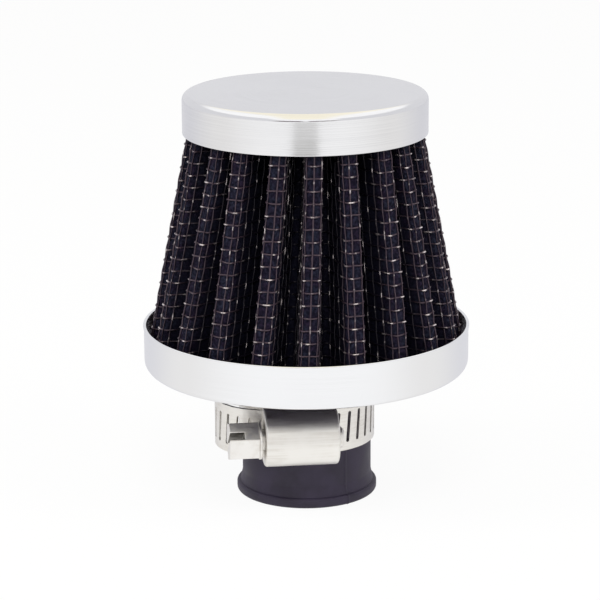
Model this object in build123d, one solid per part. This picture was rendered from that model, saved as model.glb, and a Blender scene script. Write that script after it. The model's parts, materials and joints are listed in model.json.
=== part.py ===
"""Crankcase breather filter: a pleated element between a pressed cap and a rubber base, with a worm clamp.

Millimetres, +Z up. The origin is the centre of the rubber spigot's open end, on the filter's axis.
The clamp's screw lies across the front, which is -Y. Angles round the axis are counted from the
front, growing towards +X.
"""
from build123d import *
from math import cos, hypot, pi, radians, sin, sqrt, tan
import os

# Rubber base: spigot, rim and flange in one moulding
spigot_bore = 12.0
spigot_diameter = 20.4
spigot_length = 20.4
rim_diameter = 22.2
rim_height = 1.6
rim_edge_radius = 0.4
rim_crease_radius = 0.15
flare_height = 1.6
flare_radius = 1.2
bore_chamfer = 0.6
throat_diameter = 18.0
flange_height = 4.0
flange_root_radius = 1.2

# Base ring: pressed metal band with a lip turned in under the flange
ring_diameter = 51.0
ring_height = 7.0
ring_wall = 0.5
ring_corner_radius = 1.4
ring_lip_width = 3.0
ring_flare = 0.15
ring_flare_height = 1.0
ring_edge_radius = 0.2
bond_gap = 0.05

# Top cap: pressed metal cup
cap_diameter = 38.0
cap_height = 6.3
cap_wall = 0.4
cap_corner_radius = 1.1
cap_rim_radius = 0.15
exposed_height = 30.3

# End disc: moulded inside the cap, closing the pleats' top ends
end_disc_thickness = 3.4
trough_depth = 1.5
trough_wall = 2.0
trough_clearance = 0.2

# Pleat pack: a sheet of wire screen, gauze and wire screen, folded together
pleat_count = 20
pleat_depth = 7.0
pleat_twist = 3.9
front_crest_angle = 0.6
crest_width = 3.0
crest_corner_radius = 0.6
valley_width = 0.7
tight_corner_radius = 0.08
corner_share = 0.95
ring_clearance = 0.22
mouth_clearance = 0.13
wire_height = 0.15
wire_width = 0.25
wire_root = 0.08
mesh_pitch = 1.85
crest_wire_spacing = 1.7
screen_thickness = 0.15
gauze_thickness = 0.5
inner_screen_thickness = 0.2
layer_gap = 0.05

# Clamp band: one slotted strip that goes once round the spigot and out as a tail
clamp_drop = 7.7
clamp_yaw = 7.0
band_width = 7.6
band_thickness = 0.5
band_clearance = 0.05
overlap_gap = 0.1
band_start_angle = -2.0
step_angle = 22.0
step_bend_radius = 5.0
straight_reach = 6.6
tail_radius = 8.0
tail_sweep = 111.0
slot_length = 5.0
slot_width = 0.6
slot_pitch = 2.0
slot_lean = 5.0
slot_margin = 1.85
slotted_length = 38.0

# Clamp housing: pressed saddle over the screw
housing_length = 11.4
housing_shift = -2.6
housing_wall = 0.5
housing_end_radius = 0.45
side_clearance = 0.1
arch_clearance = 0.2
saddle_gap = 0.3
foot_length = 3.6
foot_width = 1.0
foot_thickness = 0.4
foot_clearance = 0.3

# Clamp screw: slotted hexagon head, collar, worm and tip in one piece
head_across_flats = 5.5
head_length = 4.6
head_turn = 11.4
head_chamfer = 0.35
driver_slot_width = 1.2
driver_slot_depth = 2.3
driver_slot_turn = 56.0
collar_diameter = 5.9
collar_thickness = 0.4
collar_gap = 0.5
journal_diameter = 3.2
journal_clearance = 0.15
worm_diameter = 5.6
worm_clearance = 0.15
worm_end_gap = 0.3
tip_protrusion = 0.8
tip_chamfer = 0.3

# Levels along the axis
ring_bottom = spigot_length
ring_top = ring_bottom + ring_height
pleat_bottom = ring_bottom + flange_height
cap_bottom = ring_top + exposed_height
cap_top = cap_bottom + cap_height
pleat_top = cap_top - cap_wall - end_disc_thickness

# Radii that pieces share
spigot_radius = spigot_diameter / 2
ring_radius = ring_diameter / 2
ring_bore_radius = ring_radius - ring_wall
lip_bore_radius = ring_bore_radius - ring_lip_width
flange_radius = ring_bore_radius - bond_gap
cap_radius = cap_diameter / 2
cap_bore_radius = cap_radius - cap_wall
end_disc_radius = cap_bore_radius - bond_gap

# Crest line of the pleats, straight from inside the ring to inside the cap
crest_bottom = ring_bore_radius - ring_clearance
crest_mouth = cap_bore_radius - mouth_clearance
crest_slope = (crest_mouth - crest_bottom) / (cap_bottom - pleat_bottom)
crest_top = crest_bottom + crest_slope * (pleat_top - pleat_bottom)

# Depth of each layer's faces below the outermost wires
screen_outer = wire_height
screen_inner = screen_outer + screen_thickness
gauze_outer = screen_inner + layer_gap
gauze_inner = gauze_outer + gauze_thickness
lining_outer = gauze_inner + layer_gap
lining_inner = lining_outer + inner_screen_thickness
fold_total = pleat_depth + lining_inner

# Clamp layout, before it is turned round the spigot
clamp_level = ring_bottom - clamp_drop
loop_radius = spigot_radius + band_clearance + band_thickness / 2
loop_outer_radius = loop_radius + band_thickness / 2
straight_inner = loop_outer_radius + overlap_gap
straight_centre = straight_inner + band_thickness / 2
straight_outer = straight_inner + band_thickness
screw_offset = straight_outer + worm_clearance + worm_diameter / 2
arch_radius = band_width / 2 + side_clearance
arch_crest = screw_offset + worm_diameter / 2 + arch_clearance
arch_centre = arch_crest - arch_radius
housing_left = housing_shift - housing_length / 2
housing_right = housing_shift + housing_length / 2
passage_top = straight_outer + overlap_gap
journal_hole_radius = journal_diameter / 2 + journal_clearance


def turned(points, radii):
    """Solid of revolution about the axis from (radius, height) corners, each rounded by its own radius."""
    corners = [(radius, 0, height) for radius, height in points]
    outline = FilletPolyline(*corners, radius=radii, close=True)
    return revolve(make_face(outline), Axis.Z)


def rubber_base():
    """Spigot with a rim at its open end and a bore that widens through the flange that carries the pleats."""
    bore = spigot_bore / 2
    bore_top = ring_bottom - flange_root_radius
    rim = rim_diameter / 2
    collar_outer = crest_bottom + crest_slope * trough_depth - fold_total - trough_clearance
    collar_top = pleat_bottom + trough_depth
    flange_corner = max(ring_corner_radius - ring_wall, 0) + bond_gap
    points = [
        (bore + bore_chamfer, 0),
        (rim, 0),
        (rim, rim_height),
        (spigot_radius, rim_height + flare_height),
        (spigot_radius, ring_bottom),
        (lip_bore_radius - bond_gap, ring_bottom),
        (lip_bore_radius - bond_gap, ring_bottom + ring_wall),
        (flange_radius, ring_bottom + ring_wall),
        (flange_radius, pleat_bottom),
        (collar_outer, pleat_bottom),
        (collar_outer, collar_top),
        (collar_outer - trough_wall, collar_top),
        (collar_outer - trough_wall, pleat_bottom),
        (throat_diameter / 2, pleat_bottom),
        (bore, bore_top),
        (bore, bore_chamfer),
    ]
    outside = [0, rim_edge_radius, rim_crease_radius, flare_radius, flange_root_radius, 0, 0, flange_corner]
    inside = [0] * (len(points) - len(outside))
    return turned(points, outside + inside)


def base_ring():
    """Pressed band with a flared upper edge, a rounded lower corner and a lip turned in below."""
    flare_start = ring_top - ring_flare_height
    inner_corner = max(ring_corner_radius - ring_wall, 0)
    points = [
        (lip_bore_radius, ring_bottom),
        (ring_radius, ring_bottom),
        (ring_radius, flare_start),
        (ring_radius + ring_flare, ring_top),
        (ring_bore_radius + ring_flare, ring_top),
        (ring_bore_radius, flare_start),
        (ring_bore_radius, ring_bottom + ring_wall),
        (lip_bore_radius, ring_bottom + ring_wall),
    ]
    return turned(points, [0, ring_corner_radius, 0, ring_edge_radius, ring_edge_radius, 0, inner_corner, 0])


def top_cap():
    """Pressed cup, open downwards, with a rounded top edge and a rolled mouth."""
    under = cap_top - cap_wall
    inner_corner = max(cap_corner_radius - cap_wall, 0)
    points = [
        (0, cap_top),
        (cap_radius, cap_top),
        (cap_radius, cap_bottom),
        (cap_bore_radius, cap_bottom),
        (cap_bore_radius, under),
        (0, under),
    ]
    return turned(points, [0, cap_corner_radius, cap_rim_radius, cap_rim_radius, inner_corner, 0])


def end_disc():
    """Moulded disc that fills the cap and closes the pleats, with a collar inside their top ends."""
    under = cap_top - cap_wall
    upper_corner = max(cap_corner_radius - cap_wall, 0) + bond_gap
    collar_outer = crest_top - fold_total - trough_clearance
    points = [
        (0, under),
        (end_disc_radius, under),
        (end_disc_radius, pleat_top),
        (collar_outer, pleat_top),
        (collar_outer, pleat_top - trough_depth),
        (collar_outer - trough_wall, pleat_top - trough_depth),
        (collar_outer - trough_wall, pleat_top),
        (0, pleat_top),
    ]
    return turned(points, [0, upper_corner, 0, 0, 0, 0, 0, 0])


def round_axis(across, outwards, angle):
    """Point given by its distance across and outwards in a frame that faces angle, in degrees."""
    turn = radians(angle)
    return (outwards * sin(turn) + across * cos(turn), across * sin(turn) - outwards * cos(turn))


def pleat_outline(crest_radius, first_angle, depth, level):
    """Face inside the folded sheet's surface that lies depth below the outermost wires."""
    half_pitch = pi / pleat_count
    valley_ray = Vector(sin(half_pitch), cos(half_pitch))
    valley_across = Vector(cos(half_pitch), -sin(half_pitch))
    crest_edge = Vector(crest_width / 2, crest_radius)
    valley_edge = valley_ray * (crest_radius - pleat_depth) - valley_across * (valley_width / 2)
    flank = (valley_edge - crest_edge).normalized()
    start = crest_edge + Vector(flank.Y, -flank.X) * depth
    crest = start + flank * ((crest_radius - depth - start.Y) / flank.Y)
    valley_reach = crest_radius - pleat_depth - depth
    valley = start + flank * ((valley_reach - start.dot(valley_ray)) / flank.dot(valley_ray))

    crest_turn = Vector(1, 0).get_angle(flank)
    valley_turn = valley_across.get_angle(flank)
    crest_limit = corner_share * crest.X / tan(radians(crest_turn / 2))
    valley_half = -(valley - valley_ray * valley_reach).dot(valley_across)
    valley_radius = corner_share * valley_half / tan(radians(valley_turn / 2))
    crest_radius_here = min(max(crest_corner_radius - depth, tight_corner_radius), crest_limit)

    corners = [(-valley.X, valley.Y), (-crest.X, crest.Y), (crest.X, crest.Y), (valley.X, valley.Y)]
    points = []
    for pleat in range(pleat_count):
        angle = first_angle + pleat * 360 / pleat_count
        points += [(*round_axis(across, outwards, angle), level) for across, outwards in corners]
    radii = [valley_radius, crest_radius_here, crest_radius_here, valley_radius] * pleat_count
    return make_face(FilletPolyline(*points, radius=radii, close=True))


def folded_block(depth):
    """Everything inside the folded surface at this depth, from the flange to the end disc."""
    lower = pleat_outline(crest_bottom, front_crest_angle, depth, pleat_bottom)
    upper = pleat_outline(crest_top, front_crest_angle + pleat_twist, depth, pleat_top)
    return loft([lower, upper], ruled=True)


def folded_layer(outer_depth, inner_depth):
    """One layer of the pleat pack between two depths."""
    return folded_block(outer_depth) - folded_block(inner_depth)


def crest_plane(angle):
    """Plane on the crest of one pleat at mid-height: x across, y up the slope, z outwards."""
    low = Vector(*round_axis(0, crest_bottom - screen_outer, angle), pleat_bottom)
    high = Vector(*round_axis(0, crest_top - screen_outer, angle + pleat_twist), pleat_top)
    across = Vector(*round_axis(1, 0, angle + pleat_twist / 2), 0)
    outwards = across.cross(high - low)
    return Plane((low + high) / 2, x_dir=across, z_dir=outwards)


def outer_screen():
    """Folded wire screen, with its wires raised as a ladder along the crest of every pleat."""
    slope_length = hypot(pleat_top - pleat_bottom, crest_top - crest_bottom)
    rows = int(slope_length / mesh_pitch)
    ladder_width = crest_wire_spacing + wire_width
    ladder_length = rows * mesh_pitch + wire_width
    cell = Rectangle(crest_wire_spacing - wire_width, mesh_pitch - wire_width)
    frame = Rectangle(ladder_width, ladder_length) - GridLocations(0, mesh_pitch, 1, rows) * cell
    ladder = Pos(0, 0, -wire_root) * extrude(frame, wire_root + wire_height)
    angles = [front_crest_angle + pleat * 360 / pleat_count for pleat in range(pleat_count)]
    ladders = [crest_plane(angle) * ladder for angle in angles]
    return folded_layer(screen_outer, screen_inner) + ladders


def placed_clamp(shape):
    """Clamp piece turned to its place round the spigot."""
    return Pos(0, 0, clamp_level) * Rot(0, 0, clamp_yaw) * shape


def band_path():
    """Middle line of the band: once round the spigot, out over its own start, straight, then the tail."""
    start_angle = band_start_angle - 90
    end_angle = step_angle - 90 - 360
    loop = CenterArc((0, 0), loop_radius, start_angle, end_angle - start_angle)
    leave = round_axis(0, loop_radius, step_angle)
    rise = straight_centre - loop_radius * cos(radians(step_angle))
    corner = (leave[0] - rise / tan(radians(step_angle)), -straight_centre)
    tail_start = (-straight_reach, -straight_centre)
    step = FilletPolyline(leave, corner, tail_start, radius=step_bend_radius)
    tail = CenterArc((-straight_reach, tail_radius - straight_centre), tail_radius, -90, -tail_sweep)
    return Wire([*loop.edges(), *step.edges(), *tail.edges()])


def clamp_band():
    """Thin strip swept along the band's path, with leaning slots through its free end."""
    path = band_path()
    section = Plane(path @ 0, x_dir=(0, 0, 1), z_dir=path % 0) * Rectangle(band_width, band_thickness)
    strip = sweep(section, path)
    slots = []
    for index in range(int((slotted_length - slot_margin) / slot_pitch) + 1):
        along = 1 - (slot_margin + index * slot_pitch) / path.length
        tangent = path % along
        normal = tangent.cross(Vector(0, 0, 1))
        across_band = Plane(path @ along, x_dir=tangent, z_dir=normal)
        slot = SlotOverall(slot_length, slot_width, rotation=90 + slot_lean)
        slots.append(extrude(across_band * slot, band_thickness, both=True))
    return placed_clamp(strip - slots)


def arch_section(radius, base):
    """Upright arch in the plane across the screw: straight sides from base, round over the screw."""
    side = arch_centre - base
    straight = Pos(-base - side / 2, 0) * Rectangle(side, 2 * radius)
    crown = Pos(-arch_centre, 0) * Circle(radius)
    return Plane.YZ * (straight + crown)


def clamp_housing():
    """Pressed saddle: arched shell with pierced ends and feet folded under the band's free end."""
    base = straight_inner - foot_clearance - foot_thickness
    shell = Pos(housing_left, 0, 0) * extrude(arch_section(arch_radius + housing_wall, base), housing_length)
    ends = shell.faces().sort_by(Axis.X)
    shell = fillet(ends[0].edges() + ends[-1].edges(), housing_end_radius)
    cavity_length = housing_length - 2 * housing_wall
    cavity = Pos(housing_left + housing_wall, 0, 0) * extrude(arch_section(arch_radius, 0), cavity_length)
    passage = Pos(housing_shift, -passage_top / 2, 0) * Box(housing_length, passage_top, 2 * arch_radius)
    drill = Rot(0, 90, 0) * Cylinder(journal_hole_radius, housing_length)
    hole = Pos(housing_shift, -screw_offset, 0) * drill
    saddle = Cylinder(spigot_radius + saddle_gap, 2 * (arch_radius + housing_wall))
    shell = shell - [cavity, passage, hole, saddle]
    foot_level = base + foot_thickness / 2
    foot_middle = housing_left + housing_wall + foot_length / 2
    for side in (-1, 1):
        foot_place = Pos(foot_middle, -foot_level, side * (arch_radius - foot_width / 2))
        shell += foot_place * Box(foot_length, foot_thickness, foot_width)
    return placed_clamp(shell)


def clamp_screw():
    """Screw along X: slotted hexagon head at the left, collar, worm inside the housing, tip at the right."""
    worm_left = housing_left + housing_wall + worm_end_gap
    worm_right = housing_right - housing_wall - worm_end_gap
    collar_right = housing_left - collar_gap
    head_right = collar_right - collar_thickness
    tip_right = housing_right + tip_protrusion
    corner_radius = head_across_flats / sqrt(3)

    outline = RegularPolygon(head_across_flats / 2, 6, major_radius=False, rotation=head_turn)
    hexagon = extrude(outline, head_length)
    blank = Pos(0, 0, head_length / 2) * Cylinder(corner_radius, head_length)
    head = hexagon & chamfer(blank.edges().group_by(Axis.Z)[0], head_chamfer, 2 * head_chamfer)
    slot_size = (2 * head_across_flats, driver_slot_width, driver_slot_depth)
    head -= Rot(0, 0, driver_slot_turn) * Pos(0, 0, driver_slot_depth / 2) * Box(*slot_size)

    def bar(diameter, left, right):
        return Pos(0, 0, (left + right) / 2) * Cylinder(diameter / 2, right - left)

    tip = bar(journal_diameter, worm_right, tip_right)
    tip = chamfer(tip.edges().group_by(Axis.Z)[-1], tip_chamfer)
    shank = bar(collar_diameter, head_right, collar_right)
    shank += bar(journal_diameter, collar_right, worm_left)
    shank += bar(worm_diameter, worm_left, worm_right)
    screw = Pos(0, 0, head_right - head_length) * head + shank + tip
    return placed_clamp(Pos(0, -screw_offset, 0) * Rot(0, 90, 0) * screw)


nodes = {
    "rubber_base": rubber_base,
    "base_ring": base_ring,
    "filter_gauze": lambda: folded_layer(gauze_outer, gauze_inner),
    "outer_screen": outer_screen,
    "inner_screen": lambda: folded_layer(lining_outer, lining_inner),
    "end_disc": end_disc,
    "top_cap": top_cap,
    "clamp_band": clamp_band,
    "clamp_housing": clamp_housing,
    "clamp_screw": clamp_screw,
}

os.makedirs("parts", exist_ok=True)
for name, make in nodes.items():
    export_step(make(), f"parts/{name}.step")
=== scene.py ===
"""Looks of a crankcase breather filter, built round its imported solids.

Metres, +Z up the filter's axis and -Y to the front, where the clamp's screw lies across. Angles round the
axis are counted from the front, growing towards +X.
"""

import json
import logging
from dataclasses import dataclass, field
from enum import Enum
from math import atan2, cos, floor, hypot, pi, radians, sin, sqrt, tan
from typing import Callable, Iterable, Sequence

import bmesh
import bpy
from bmesh.types import BMEdge, BMesh, BMVert
from bpy.types import Material, Mesh, Node, NodeSocket, NodeTree, Object
from mathutils import Matrix, Vector


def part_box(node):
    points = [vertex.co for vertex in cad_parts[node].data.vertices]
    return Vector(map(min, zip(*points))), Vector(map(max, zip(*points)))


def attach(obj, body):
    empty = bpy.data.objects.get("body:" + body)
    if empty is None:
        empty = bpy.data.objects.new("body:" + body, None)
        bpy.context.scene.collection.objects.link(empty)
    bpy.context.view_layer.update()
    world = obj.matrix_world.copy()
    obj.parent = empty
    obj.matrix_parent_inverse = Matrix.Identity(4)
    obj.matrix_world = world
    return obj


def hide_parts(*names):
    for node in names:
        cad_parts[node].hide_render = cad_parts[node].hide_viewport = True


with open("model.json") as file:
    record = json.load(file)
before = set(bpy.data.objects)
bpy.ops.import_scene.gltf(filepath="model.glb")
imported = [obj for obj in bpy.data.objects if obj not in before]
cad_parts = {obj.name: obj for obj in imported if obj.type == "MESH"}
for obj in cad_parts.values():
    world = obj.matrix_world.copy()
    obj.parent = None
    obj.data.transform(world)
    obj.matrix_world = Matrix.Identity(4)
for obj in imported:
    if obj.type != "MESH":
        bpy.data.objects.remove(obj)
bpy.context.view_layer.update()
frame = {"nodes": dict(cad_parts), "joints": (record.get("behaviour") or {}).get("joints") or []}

MM = 0.001
IMAGE_WIDTH = 600.0
WELD = 1e-6
SHARP_ANGLE = radians(40)
Colour = tuple[float, float, float, float]
Place = tuple[float, float, float]
Span = tuple[float, float]
WHITE: Colour = (1.0, 1.0, 1.0, 1.0)
log = logging.getLogger("breather_filter")


class Body(Enum):
    """Bodies that a piece can ride on."""

    FILTER = "filter"
    SCREW = "screw"


class Slot(Enum):
    """Material slots of the record."""

    RUBBER = "rubber"
    CHROME = "chrome"
    GAUZE = "gauze"
    WIRE = "wire"
    CLAMP = "clamp_steel"
    SCREW = "screw_steel"


class Effect(Enum):
    """Node groups for the effects that several finishes share."""

    LATHE_LINES = "lathe lines"
    MOTTLE = "mottle"


def stored(name: str, bm: BMesh) -> Mesh:
    """Stores a finished mesh.

    Args:
        name: Name to store it under.
        bm: The mesh, freed here.

    Returns:
        The stored mesh.
    """
    mesh = bpy.data.meshes.new(name)
    bm.to_mesh(mesh)
    bm.free()
    return mesh


def add_piece(name: str, bm: BMesh, materials: Sequence[Material], body: Body,
              nodes: Sequence[str], soft: bool = False) -> Object:
    """Turns a finished mesh into a smooth-shaded piece that rides on a body.

    Args:
        name: The piece's name.
        bm: Mesh in the part's frame, freed here.
        materials: Finishes, in the order of the faces' material indices.
        body: Body that carries it.
        nodes: Solids that the piece replaces.
        soft: Whether it has no sharp edges and no flats, as cloth and wire.

    Returns:
        The new object.
    """
    mesh = stored(name, bm)
    mesh.shade_smooth()
    mesh.set_sharp_from_angle(angle=pi if soft else SHARP_ANGLE)
    for material in materials:
        mesh.materials.append(material)
    piece = bpy.data.objects.new(name, mesh)
    bpy.context.scene.collection.objects.link(piece)
    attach(piece, body.value)
    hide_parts(*nodes)
    if not soft:
        piece.modifiers.new("flats", "WEIGHTED_NORMAL").keep_sharp = True
    return piece


def weld(bm: BMesh, distance: float = WELD) -> None:
    """Joins the vertices that meet and turns all faces outwards."""
    bmesh.ops.remove_doubles(bm, verts=bm.verts[:], dist=distance)
    bmesh.ops.recalc_face_normals(bm, faces=bm.faces[:])


def edges_at(verts: Iterable[BMVert]) -> list[BMEdge]:
    """Lists the edges that meet these vertices."""
    return list({edge for vert in verts for edge in vert.link_edges})


def round_edges(bm: BMesh, edges: Sequence[BMEdge], radius: float, segments: int) -> None:
    """Rounds edges to a radius in so many segments."""
    bmesh.ops.bevel(bm, geom=edges, offset=radius, offset_type="OFFSET", segments=segments, profile=0.5,
                    affect="EDGES", material=-1, clamp_overlap=True)


def draw_out(bm: BMesh, edges: Sequence[BMEdge], way: Place) -> None:
    """Draws edges out into faces."""
    drawn = bmesh.ops.extrude_edge_only(bm, edges=edges)["geom"]
    bmesh.ops.translate(bm, verts=[item for item in drawn if isinstance(item, BMVert)], vec=way)


def turned(corners: Sequence[Span], rounds: Sequence[float], steps: int, arc_segments: int = 6) -> BMesh:
    """Rounds the corners of an outline and turns it once about the Z axis.

    Args:
        corners: Radius and height of each corner; an outline that starts on the axis stays open there.
        rounds: Radius of each corner's rounding, or 0.
        steps: Steps of the full turn.
        arc_segments: Segments of each rounding.

    Returns:
        The turned form.
    """
    bm = bmesh.new()
    verts = [bm.verts.new((radius, 0.0, height)) for radius, height in corners]
    pairs = list(zip(verts, verts[1:]))
    if corners[0][0] > 0:
        pairs.append((verts[-1], verts[0]))
    for pair in pairs:
        bm.edges.new(pair)
    for vert, radius in zip(verts, rounds):
        if radius > 0:
            before, after = [edge.other_vert(vert).co - vert.co for edge in vert.link_edges]
            reach = radius * tan((pi - before.angle(after)) / 2)
            bmesh.ops.bevel(bm, geom=[vert], offset=reach, offset_type="OFFSET", segments=arc_segments,
                            profile=0.5, affect="VERTICES", material=-1, clamp_overlap=False)
    bmesh.ops.spin(bm, geom=bm.verts[:] + bm.edges[:], cent=(0, 0, 0), axis=(0, 0, 1), angle=2 * pi,
                   steps=steps, use_merge=True)
    weld(bm)
    return bm


def straight_tube(radius: float, length: float, sides: int, spans: int) -> Mesh:
    """Makes an open tube along Z, centred on the origin, with rings at even spans.

    Args:
        radius: Radius of the tube.
        length: Length along Z.
        sides: Sides of its section.
        spans: Spans along its length.

    Returns:
        A mesh to be copied and bent.
    """
    bm = bmesh.new()
    bmesh.ops.create_cone(bm, cap_ends=False, segments=sides, radius1=radius, radius2=radius, depth=length)
    long_edges = [edge for edge in bm.edges if abs(edge.verts[0].co.z - edge.verts[1].co.z) > WELD]
    bmesh.ops.subdivide_edges(bm, edges=long_edges, cuts=spans - 1, use_grid_fill=True)
    bmesh.ops.recalc_face_normals(bm, faces=bm.faces[:])
    return stored("tube", bm)


class Wiring:
    """Places and links the nodes of one node tree."""

    def __init__(self, tree: NodeTree) -> None:
        """Starts on an emptied tree."""
        self.tree = tree
        tree.nodes.clear()

    def add(self, kind: str, inputs: dict | None = None, **settings: object) -> Node:
        """Adds one node.

        Args:
            kind: Type of the node.
            inputs: Sockets by name or place, each with a constant or another node's output.
            settings: Properties of the node.

        Returns:
            The new node.
        """
        node = self.tree.nodes.new(kind)
        for name, value in settings.items():
            setattr(node, name, value)
        for key, value in (inputs or {}).items():
            if isinstance(value, NodeSocket):
                self.tree.links.new(value, node.inputs[key])
            else:
                node.inputs[key].default_value = value
        return node

    def math(self, operation: str, *values: object) -> NodeSocket:
        """Puts out one Math node's result."""
        return self.add("ShaderNodeMath", dict(enumerate(values)), operation=operation).outputs[0]

    def times(self, first: object, second: object) -> NodeSocket:
        """Puts out a product."""
        return self.math("MULTIPLY", first, second)

    def reach(self, first: NodeSocket, second: NodeSocket) -> NodeSocket:
        """Puts out the distance that two parts at right angles make up."""
        return self.math("SQRT", self.math("ADD", self.times(first, first), self.times(second, second)))

    def coords(self, kind: str = "Object") -> NodeSocket:
        """Puts out one kind of texture coordinates."""
        return self.add("ShaderNodeTexCoord").outputs[kind]

    def parts(self, vector: NodeSocket) -> Sequence[NodeSocket]:
        """Puts out the three parts of a vector."""
        return self.add("ShaderNodeSeparateXYZ", {0: vector}).outputs

    def attribute(self, name: str) -> NodeSocket:
        """Puts out a value that the mesh carries."""
        return self.add("ShaderNodeAttribute", attribute_name=name).outputs["Fac"]

    def ray(self, kind: str) -> NodeSocket:
        """Puts out 1 for rays of one kind."""
        return self.add("ShaderNodeLightPath").outputs[kind]

    def spread(self, value: NodeSocket, span: Sequence[object], to: Span = (0.0, 1.0)) -> NodeSocket:
        """Maps a value smoothly from one range to another.

        Args:
            value: Value to map.
            span: Start and end of its range.
            to: Results at the start and at the end.

        Returns:
            The mapped value.
        """
        inputs = {"Value": value, "From Min": span[0], "From Max": span[1], "To Min": to[0], "To Max": to[1]}
        return self.add("ShaderNodeMapRange", inputs, interpolation_type="SMOOTHSTEP").outputs["Result"]

    def between(self, share: NodeSocket, span: Span) -> NodeSocket:
        """Goes from a span's start to its end as a share goes from 0 to 1."""
        return self.spread(share, (0.0, 1.0), span)

    def blend(self, share: NodeSocket, first: object, second: object) -> NodeSocket:
        """Mixes two colours by a share from 0 to 1."""
        return self.add("ShaderNodeMix", {0: share, 6: first, 7: second}, data_type="RGBA").outputs[2]

    def bump(self, height: NodeSocket, strength: float, distance: float) -> NodeSocket:
        """Turns a height into a normal."""
        inputs = {"Height": height, "Strength": strength, "Distance": distance}
        return self.add("ShaderNodeBump", inputs).outputs["Normal"]

    def effect(self, effect: Effect, **inputs: object) -> NodeSocket:
        """Puts out a shared effect's mask."""
        group = bpy.data.node_groups[effect.value]
        return self.add("ShaderNodeGroup", inputs, node_tree=group).outputs["Mask"]

    def blotches(self, place: NodeSocket, scale: float, span: Span = (0.35, 0.65)) -> NodeSocket:
        """Puts out blotches of a scale per metre, from the noise levels that give 0 and 1."""
        return self.effect(Effect.MOTTLE, Vector=place, Scale=scale, Low=span[0], High=span[1])

    def seen_straight(self) -> NodeSocket:
        """Puts out 1 for rays from the camera, a gloss or a glass, and 0 for light that falls on things."""
        mirrored = self.math("MAXIMUM", self.ray("Is Glossy Ray"), self.ray("Is Transmission Ray"))
        return self.math("MAXIMUM", self.ray("Is Camera Ray"), mirrored)

    def surface(self, **inputs: object) -> None:
        """Ends a material with its Principled shader, whose inputs are named with underscores for spaces."""
        named = {key.replace("_", " "): value for key, value in inputs.items()}
        self.finish("Material", self.add("ShaderNodeBsdfPrincipled", named))

    def finish(self, kind: str, shader: Node) -> None:
        """Links a shader to the output of a Material or World."""
        self.add(f"ShaderNodeOutput{kind}", {"Surface": shader.outputs[0]})


class SharedEffects:
    """Builds the node groups that several finishes share."""

    def build(self) -> None:
        """Builds each group once."""
        self.lathe_lines()
        self.mottle()

    def group(self, effect: Effect, *values: str) -> tuple[Wiring, Sequence[NodeSocket]]:
        """Makes an empty group with a vector and some values going in and a mask coming out.

        Args:
            effect: The effect that the group is for.
            values: Names of its values.

        Returns:
            The group's wiring and what goes in.
        """
        tree = bpy.data.node_groups.new(effect.value, "ShaderNodeTree")
        tree.interface.new_socket("Vector", in_out="INPUT", socket_type="NodeSocketVector")
        for name in values:
            tree.interface.new_socket(name, in_out="INPUT", socket_type="NodeSocketFloat")
        tree.interface.new_socket("Mask", in_out="OUTPUT", socket_type="NodeSocketFloat")
        wiring = Wiring(tree)
        return wiring, wiring.add("NodeGroupInput").outputs

    def lathe_lines(self, detail: float = 3.0, span: Span = (0.3, 0.7)) -> None:
        """Fills the group of fine uneven lines round the Z axis, as turning and polishing leave them.

        Args:
            detail: Detail of the noise.
            span: Noise levels that give 0 and 1.
        """
        wiring, source = self.group(Effect.LATHE_LINES, "Lines", "Run")
        x, y, z = wiring.parts(source["Vector"])
        across = wiring.times(wiring.reach(x, y), source["Lines"])
        up = wiring.times(z, source["Lines"])
        run = wiring.times(wiring.math("ARCTAN2", y, x), source["Run"])
        place = wiring.add("ShaderNodeCombineXYZ", {0: across, 1: up, 2: run}).outputs[0]
        noise = wiring.add("ShaderNodeTexNoise", {"Vector": place, "Scale": 1.0, "Detail": detail}).outputs[0]
        wiring.add("NodeGroupOutput", {"Mask": wiring.spread(noise, span)})

    def mottle(self, detail: float = 4.0) -> None:
        """Fills the group of soft blotches.

        Args:
            detail: Detail of the noise.
        """
        wiring, source = self.group(Effect.MOTTLE, "Scale", "Low", "High")
        inputs = {"Vector": source["Vector"], "Scale": source["Scale"], "Detail": detail}
        noise = wiring.add("ShaderNodeTexNoise", inputs).outputs[0]
        wiring.add("NodeGroupOutput", {"Mask": wiring.spread(noise, (source["Low"], source["High"]))})


@dataclass(frozen=True)
class Finish:
    """A procedural finish; each kind wires its own surface."""

    name: str

    def material(self) -> Material:
        """Builds the finish.

        Returns:
            The new material.
        """
        material = bpy.data.materials.new(self.name)
        material.use_nodes = True
        self.wire(Wiring(material.node_tree))
        return material

    def wire(self, wiring: Wiring) -> None:
        """Wires the surface."""
        raise NotImplementedError


@dataclass(frozen=True)
class ChromeFinish(Finish):
    """Bright plated metal with faint lines from polishing round the axis."""

    tint: Colour = (0.86, 0.86, 0.87, 1.0)
    dull_tint: Colour = (0.8, 0.8, 0.815, 1.0)
    roughness: Span = (0.09, 0.19)
    line_strength: float = 0.2
    line_height: float = 0.01 * MM
    lines: float = 9000.0
    line_run: float = 0.6
    cloud_scale: float = 60.0

    def wire(self, wiring: Wiring) -> None:
        """Wires the lines into colour, gloss and relief.

        Args:
            wiring: The material's wiring.
        """
        place = wiring.coords()
        lines = wiring.effect(Effect.LATHE_LINES, Vector=place, Lines=self.lines, Run=self.line_run)
        cloud = wiring.blotches(place, self.cloud_scale)
        wiring.surface(
            Base_Color=wiring.blend(wiring.times(lines, cloud), self.tint, self.dull_tint),
            Metallic=1.0,
            Roughness=wiring.between(lines, self.roughness),
            Normal=wiring.bump(lines, self.line_strength, self.line_height),
        )


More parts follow.
